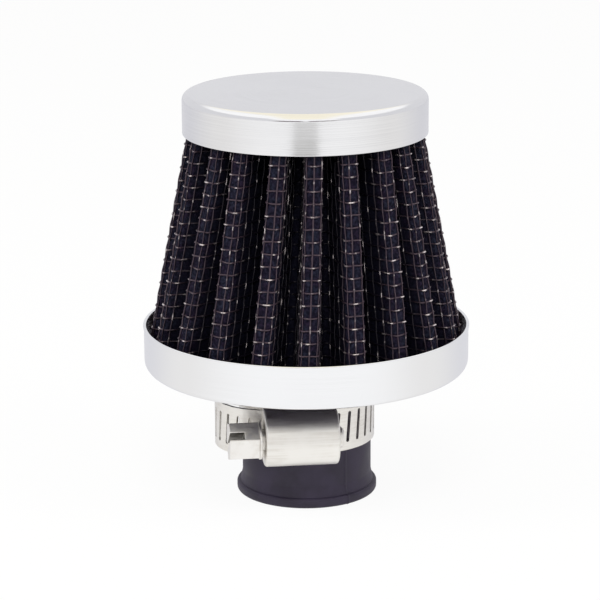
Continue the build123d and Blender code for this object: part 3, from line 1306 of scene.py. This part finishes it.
    def arch(self, radius: float, passage: float) -> BMesh:
        """Draws the housing's open cover.

        Args:
            radius: Radius of the arch.
            passage: Distance from the axis to the cover's feet.

        Returns:
            The cover, without ends or thickness.
        """
        outer = self.screw_offset + self.worm_radius + self.arch_clearance + self.housing_wall
        centre = outer - radius
        bm = bmesh.new()
        foot = bm.verts.new((self.left, -passage, -radius))
        shoulder = bm.verts.new((self.left, -centre, -radius))
        bm.edges.new((foot, shoulder))
        arc = bmesh.ops.spin(bm, geom=[shoulder], cent=(self.left, -centre, 0), axis=(1, 0, 0), angle=-pi,
                             steps=self.arch_steps)["geom_last"]
        far = next(item for item in arc if isinstance(item, BMVert))
        bm.edges.new((far, bm.verts.new((self.left, -passage, radius))))
        draw_out(bm, bm.edges[:], (self.housing_length, 0, 0))
        return bm

    def close_end(self, bm: BMesh, end: float, passage: float) -> None:
        """Closes one end of the cover, with a hole for the screw.

        Args:
            bm: The cover.
            end: Place of the end along the screw.
            passage: Distance from the axis to the cover's feet.
        """
        outline = [edge for edge in bm.edges if all(abs(vert.co.x - end) < WELD for vert in edge.verts)]
        feet = [vert for vert in bm.verts if abs(vert.co.x - end) < WELD and abs(vert.co.y + passage) < WELD]
        outline.append(bm.edges.new(feet))
        stand = Matrix.Translation((end, -self.screw_offset, 0)) @ Matrix.Rotation(pi / 2, 4, "Y")
        hole = bmesh.ops.create_circle(bm, cap_ends=False, segments=self.journal_sides, matrix=stand,
                                       radius=self.journal_radius + self.journal_clearance)["verts"]
        bmesh.ops.bridge_loops(bm, edges=outline + edges_at(hole))

    def housing(self) -> BMesh:
        """Presses the housing: pierced ends, rounded end edges and side walls that reach past the band.

        Returns:
            The housing's mesh.
        """
        passage = self.straight_outer + self.overlap_gap
        base = self.straight_inner - self.housing_drop
        radius = self.band_width / 2 + self.side_clearance + self.housing_wall
        bm = self.arch(radius, passage)
        for end in (self.left, self.right):
            self.close_end(bm, end, passage)
        end_edges = [edge for edge in bm.edges if len(edge.link_faces) == 2 and edge.calc_face_angle() > 1
                     and abs(edge.verts[0].co.x - edge.verts[1].co.x) < WELD]
        round_edges(bm, end_edges, self.housing_end_radius, 5)
        side_edges = [edge for edge in bm.edges if edge.is_boundary and all(
            abs(vert.co.y + passage) < WELD and abs(vert.co.z) > radius - WELD for vert in edge.verts)]
        draw_out(bm, side_edges, (0, passage - base, 0))
        bmesh.ops.recalc_face_normals(bm, faces=bm.faces[:])
        crown = min(bm.faces, key=lambda face: face.calc_center_median().y)
        if crown.normal.y > 0:
            bmesh.ops.reverse_faces(bm, faces=bm.faces[:])
        bmesh.ops.solidify(bm, geom=bm.faces[:], thickness=self.housing_wall)
        self.seat(bm)
        return bm

    def screw(self) -> BMesh:
        """Makes the worm screw with its slotted head and seats it in the housing.

        Returns:
            The screw's mesh, whose driver slot has the second material.
        """
        collar_right = self.left - self.collar_gap
        head_right = collar_right - self.collar_thickness
        worm_left = self.left + self.housing_wall + self.worm_end_gap
        worm_right = self.right - self.housing_wall - self.worm_end_gap
        tip = self.right + self.tip_protrusion
        corners = [
            (0, head_right),
            (self.collar_radius, head_right),
            (self.collar_radius, collar_right),
            (self.journal_radius, collar_right),
            (self.journal_radius, worm_left),
            (self.worm_root_radius, worm_left),
            (self.worm_root_radius, worm_right),
            (self.journal_radius, worm_right),
            (self.journal_radius, tip - self.tip_chamfer),
            (self.journal_radius - self.tip_chamfer, tip),
            (0, tip),
        ]
        rounds = [0, self.collar_round, self.collar_round] + [0] * (len(corners) - 3)
        bm = turned(corners, rounds, self.screw_steps, 3)
        self.worm_thread(bm, worm_left, worm_right)
        head = self.head()
        bmesh.ops.translate(head, verts=head.verts[:], vec=(0, 0, head_right - self.head_length))
        mesh = stored("head", head)
        bm.from_mesh(mesh)
        bpy.data.meshes.remove(mesh)
        lay = Matrix.Translation((0, -self.screw_offset, 0)) @ Matrix.Rotation(pi / 2, 4, "Y")
        bmesh.ops.transform(bm, matrix=lay, verts=bm.verts[:])
        self.seat(bm)
        return bm

    def worm_thread(self, bm: BMesh, start: float, end: float) -> None:
        """Winds the worm's ridge round the Z axis.

        Args:
            bm: Mesh of the screw, along Z.
            start: Level where the ridge starts.
            end: Level where it ends.
        """
        sunk = self.worm_root_radius - self.ridge_sunk
        turns = (end - start - 2 * self.ridge_root) / self.slot_pitch
        steps = int(self.ridge_steps * turns)
        section = [(sunk, -self.ridge_root), (self.worm_radius, -self.ridge_crest),
                   (self.worm_radius, self.ridge_crest), (sunk, self.ridge_root)]
        verts = [bm.verts.new((radius, 0, start + self.ridge_root + level)) for radius, level in section]
        edges = bm.faces.new(verts).edges[:]
        wound = bmesh.ops.spin(bm, geom=edges, cent=(0, 0, 0), axis=(0, 0, 1), angle=2 * pi * turns,
                               steps=steps, dvec=(0, 0, self.slot_pitch * turns / steps))["geom_last"]
        bmesh.ops.contextual_create(bm, geom=[item for item in wound if isinstance(item, BMEdge)])

    @property
    def driver_across(self) -> Vector:
        """Direction across the driver slot, in the head's own frame."""
        return Vector((-sin(self.driver_turn), cos(self.driver_turn), 0))

    def in_driver(self, point: Vector, margin: float) -> bool:
        """Tells whether a point of the head lies in the driver slot, widened by a margin."""
        aside = abs(point.dot(self.driver_across)) - self.driver_width / 2
        return aside < margin and point.z < self.driver_depth + margin

    def cut_driver(self, bm: BMesh) -> None:
        """Cuts the driver slot into the head's lower end and closes its walls and floor.

        Args:
            bm: The plain head along Z.
        """
        across = self.driver_across
        sides = [side * self.driver_width / 2 for side in (-1, 1)]
        planes = [(across * side, across) for side in sides]
        planes.append((Vector((0, 0, self.driver_depth)), Vector((0, 0, 1))))
        for point, normal in planes:
            bmesh.ops.bisect_plane(bm, geom=bm.verts[:] + bm.edges[:] + bm.faces[:], dist=WELD / 10,
                                   plane_co=point, plane_no=normal)
        gone = [face for face in bm.faces if self.in_driver(face.calc_center_median(), 0.0)]
        bmesh.ops.delete(bm, geom=gone, context="FACES")
        for side in sides:
            wall = [edge for edge in bm.edges if edge.is_boundary and all(
                abs(vert.co.dot(across) - side) < WELD for vert in edge.verts)]
            loose = [vert for vert in {vert for edge in wall for vert in edge.verts}
                     if abs(vert.co.z - self.driver_depth) < WELD]
            wall.append(bm.edges.new(loose))
            bmesh.ops.contextual_create(bm, geom=wall)
        bmesh.ops.contextual_create(bm, geom=[edge for edge in bm.edges if edge.is_boundary])
        bmesh.ops.recalc_face_normals(bm, faces=bm.faces[:])

    def head(self) -> BMesh:
        """Makes the hexagon head along Z, with its driver slot open to the lower end.

        Returns:
            The head's mesh, whose driver slot has the second material.
        """
        radius = self.head_flats / sqrt(3)
        stand = Matrix.Translation((0, 0, self.head_length / 2)) @ Matrix.Rotation(self.head_turn, 4, "Z")
        bm = bmesh.new()
        bmesh.ops.create_cone(bm, cap_ends=True, segments=6, radius1=radius, radius2=radius,
                              depth=self.head_length, matrix=stand)
        self.cut_driver(bm)
        rim = [edge for edge in bm.edges if edge.calc_face_angle(0) > radians(20)]
        round_edges(bm, rim, self.head_edge, 3)
        for face in bm.faces:
            face.material_index = int(self.in_driver(face.calc_center_median(), WELD))
        return bm

    def dress(self) -> list[Object]:
        """Builds the band, the housing and the screw, each with its own steel.

        Returns:
            The new pieces.
        """
        strip = SteelFinish("band_steel", turn=self.turn, stretch=self.band_grain).material()
        press = SteelFinish("housing_steel", turn=self.turn, stretch=self.housing_grain,
                            roughness=self.housing_roughness).material()
        screw = [self.plating.material(), self.painted_slot_shade.material()]
        return [
            add_piece("clamp_strip", self.band(), [strip], Body.FILTER, ["clamp_band"]),
            add_piece("clamp_saddle", self.housing(), [press], Body.FILTER, ["clamp_housing"]),
            add_piece("worm_screw", self.screw(), screw, Body.SCREW, ["clamp_screw"]),
        ]


@dataclass(frozen=True)
class FloorFinish(Finish):
    """White paper, which in a gloss is greyer to the sides, behind and in a patch before the object.

    Spans give where a shade starts and where it is full: a turn as the cosine of the way from straight
    behind, and the patch in metres.
    """

    paper: Colour = (0.9, 0.9, 0.9, 1.0)
    glow: float = 0.93
    side: Colour = (0.86, 0.85, 0.84, 1.0)
    side_turn: Span = (-0.95, -0.1)
    rear: Colour = (0.72, 0.72, 0.76, 1.0)
    rear_turn: Span = (-0.1, 0.8)
    patch: Colour = (0.42, 0.415, 0.405, 1.0)
    patch_near: Span = (-0.16, -0.185)
    patch_far: Span = (-0.36, -0.32)
    patch_side: Span = (0.07, 0.04)

    def wire(self, wiring: Wiring) -> None:
        """Wires the paper, which keeps a soft shadow, under the glow that the camera and a gloss see.

        Args:
            wiring: The material's wiring.
        """
        x, y, _ = wiring.parts(wiring.coords())
        behind = wiring.math("DIVIDE", y, wiring.reach(x, y))
        colour = wiring.blend(wiring.spread(behind, self.side_turn), WHITE, self.side)
        colour = wiring.blend(wiring.spread(behind, self.rear_turn), colour, self.rear)
        before = wiring.times(wiring.spread(y, self.patch_near), wiring.spread(y, self.patch_far))
        patch = wiring.times(before, wiring.spread(wiring.math("ABSOLUTE", x), self.patch_side))
        colour = wiring.blend(patch, colour, self.patch)
        colour = wiring.blend(wiring.ray("Is Camera Ray"), colour, WHITE)
        paper = wiring.add("ShaderNodeBsdfDiffuse", {"Color": self.paper}).outputs[0]
        glow = wiring.add("ShaderNodeEmission", {"Color": colour, "Strength": 1.0}).outputs[0]
        share = wiring.times(wiring.seen_straight(), self.glow)
        wiring.finish("Material", wiring.add("ShaderNodeMixShader", {0: share, 1: paper, 2: glow}))


@dataclass(frozen=True)
class Lamp:
    """One soft square lamp that polished metal doesn't show."""

    name: str
    place: Place
    power: float
    side: float = 0.3

    def hang(self, target: Vector) -> None:
        """Adds the lamp to the scene.

        Args:
            target: What it points at.
        """
        data = bpy.data.lights.new(self.name, "AREA")
        data.size = self.side
        data.energy = self.power
        lamp = bpy.data.objects.new(self.name, data)
        lamp.location = self.place
        lamp.rotation_euler = (target - Vector(self.place)).to_track_quat("-Z", "Y").to_euler()
        lamp.visible_glossy = False
        bpy.context.scene.collection.objects.link(lamp)


@dataclass
class Studio:
    """White floor and surroundings, soft lights and the camera.

    Spans give where a shade of the room starts and where it is full, in parts of the direction.
    """

    floor_size: float = 6.0
    floor_gap: float = 0.05 * MM
    floor_finish: Finish = FloorFinish("white_floor")
    ceiling: Colour = (1.1, 1.1, 1.1, 1.0)
    wall: Colour = (0.77, 0.77, 0.795, 1.0)
    wall_top: Span = (0.62, 0.5)
    front_ahead: Span = (-0.3, -0.6)
    front_side: Span = (0.55, 0.4)
    overhead: Colour = (1.08, 1.02, 0.84, 1.0)
    overhead_rise: Span = (0.45, 0.7)
    overhead_side: Span = (0.45, 0.2)
    strip: Colour = (0.06, 0.02, 0.04, 1.0)
    strip_top: Span = (0.15, 0.08)
    strip_side: Span = (0.03, 0.06)
    room_light: float = 0.55
    lamps: tuple[Lamp, ...] = (
        Lamp("key", (-0.55, -0.2, 0.5), 2.0),
        Lamp("fill", (0.55, -0.25, 0.5), 1.6),
        Lamp("front", (0.0, -0.5, 0.7), 2.2),
    )
    lamp_target: Place = (0.0, 0.0, 0.035)
    camera_place: Place = (0.0, -0.3937, 0.1364)
    pitch: float = 0.262
    roll: float = -0.005
    yaw: float = -0.0024
    focal_pixels: float = 2596.0
    sensor: float = 36.0

    def floor(self) -> None:
        """Lays the pale floor just below the object."""
        bm = bmesh.new()
        bmesh.ops.create_grid(bm, x_segments=1, y_segments=1, size=self.floor_size / 2,
                              matrix=Matrix.Translation((0, 0, -self.floor_gap)))
        floor_object = bpy.data.objects.new("floor", stored("floor", bm))
        bpy.context.scene.collection.objects.link(floor_object)
        floor_object.data.materials.append(self.floor_finish.material())

    def surroundings(self) -> None:
        """Lights the object from all round; metal mirrors grey walls, a white ceiling and a dim strip."""
        world = bpy.data.worlds.new("white_room")
        world.use_nodes = True
        bpy.context.scene.world = world
        wiring = Wiring(world.node_tree)
        x, y, z = wiring.parts(wiring.coords("Generated"))
        aside = wiring.math("ABSOLUTE", x)
        front = wiring.times(wiring.spread(y, self.front_ahead), wiring.spread(aside, self.front_side))
        wall = wiring.times(wiring.spread(z, self.wall_top), wiring.math("SUBTRACT", 1.0, front))
        above = wiring.spread(z, self.overhead_rise)
        overhead = wiring.times(above, wiring.spread(aside, self.overhead_side))
        low = wiring.times(wiring.spread(z, self.strip_top), front)
        strip = wiring.times(low, wiring.spread(aside, self.strip_side))
        room = wiring.blend(wall, self.ceiling, self.wall)
        room = wiring.blend(overhead, room, self.overhead)
        room = wiring.blend(strip, room, self.strip)
        room = wiring.blend(wiring.ray("Is Camera Ray"), room, WHITE)
        straight = wiring.times(wiring.seen_straight(), 1 - self.room_light)
        strength = wiring.math("ADD", straight, self.room_light)
        wiring.finish("World", wiring.add("ShaderNodeBackground", {"Color": room, "Strength": strength}))

    def camera(self) -> None:
        """Stands the camera where the photo was taken from."""
        data = bpy.data.cameras.new("camera")
        data.sensor_width = self.sensor
        data.lens = self.focal_pixels / IMAGE_WIDTH * self.sensor
        camera = bpy.data.objects.new("camera", data)
        forward = Vector((sin(self.yaw) * cos(self.pitch), cos(self.yaw) * cos(self.pitch), -sin(self.pitch)))
        right = Vector((cos(self.yaw), -sin(self.yaw), 0))
        up = right.cross(forward)
        across = right * cos(self.roll) + up * sin(self.roll)
        rise = up * cos(self.roll) - right * sin(self.roll)
        turn = Matrix((across, rise, -forward)).transposed()
        camera.matrix_world = Matrix.Translation(self.camera_place) @ turn.to_4x4()
        bpy.context.scene.collection.objects.link(camera)
        bpy.context.scene.camera = camera

    def set_up(self) -> None:
        """Builds the whole studio."""
        bpy.context.scene.view_settings.view_transform = "Standard"
        self.floor()
        self.surroundings()
        for lamp in self.lamps:
            lamp.hang(Vector(self.lamp_target))
        self.camera()


def main() -> None:
    """Builds and dresses every sub-assembly in order, then the studio."""
    logging.basicConfig(level=logging.INFO, format="%(name)s: %(message)s")
    SharedEffects().build()
    for assembly in (TopCap(), BaseRing(), RubberBase(), PleatPack(), WormClamp()):
        for piece in assembly.dress():
            log.info("%s: %d faces", piece.name, len(piece.data.polygons))
    Studio().set_up()


if __name__ == "__main__":
    main()
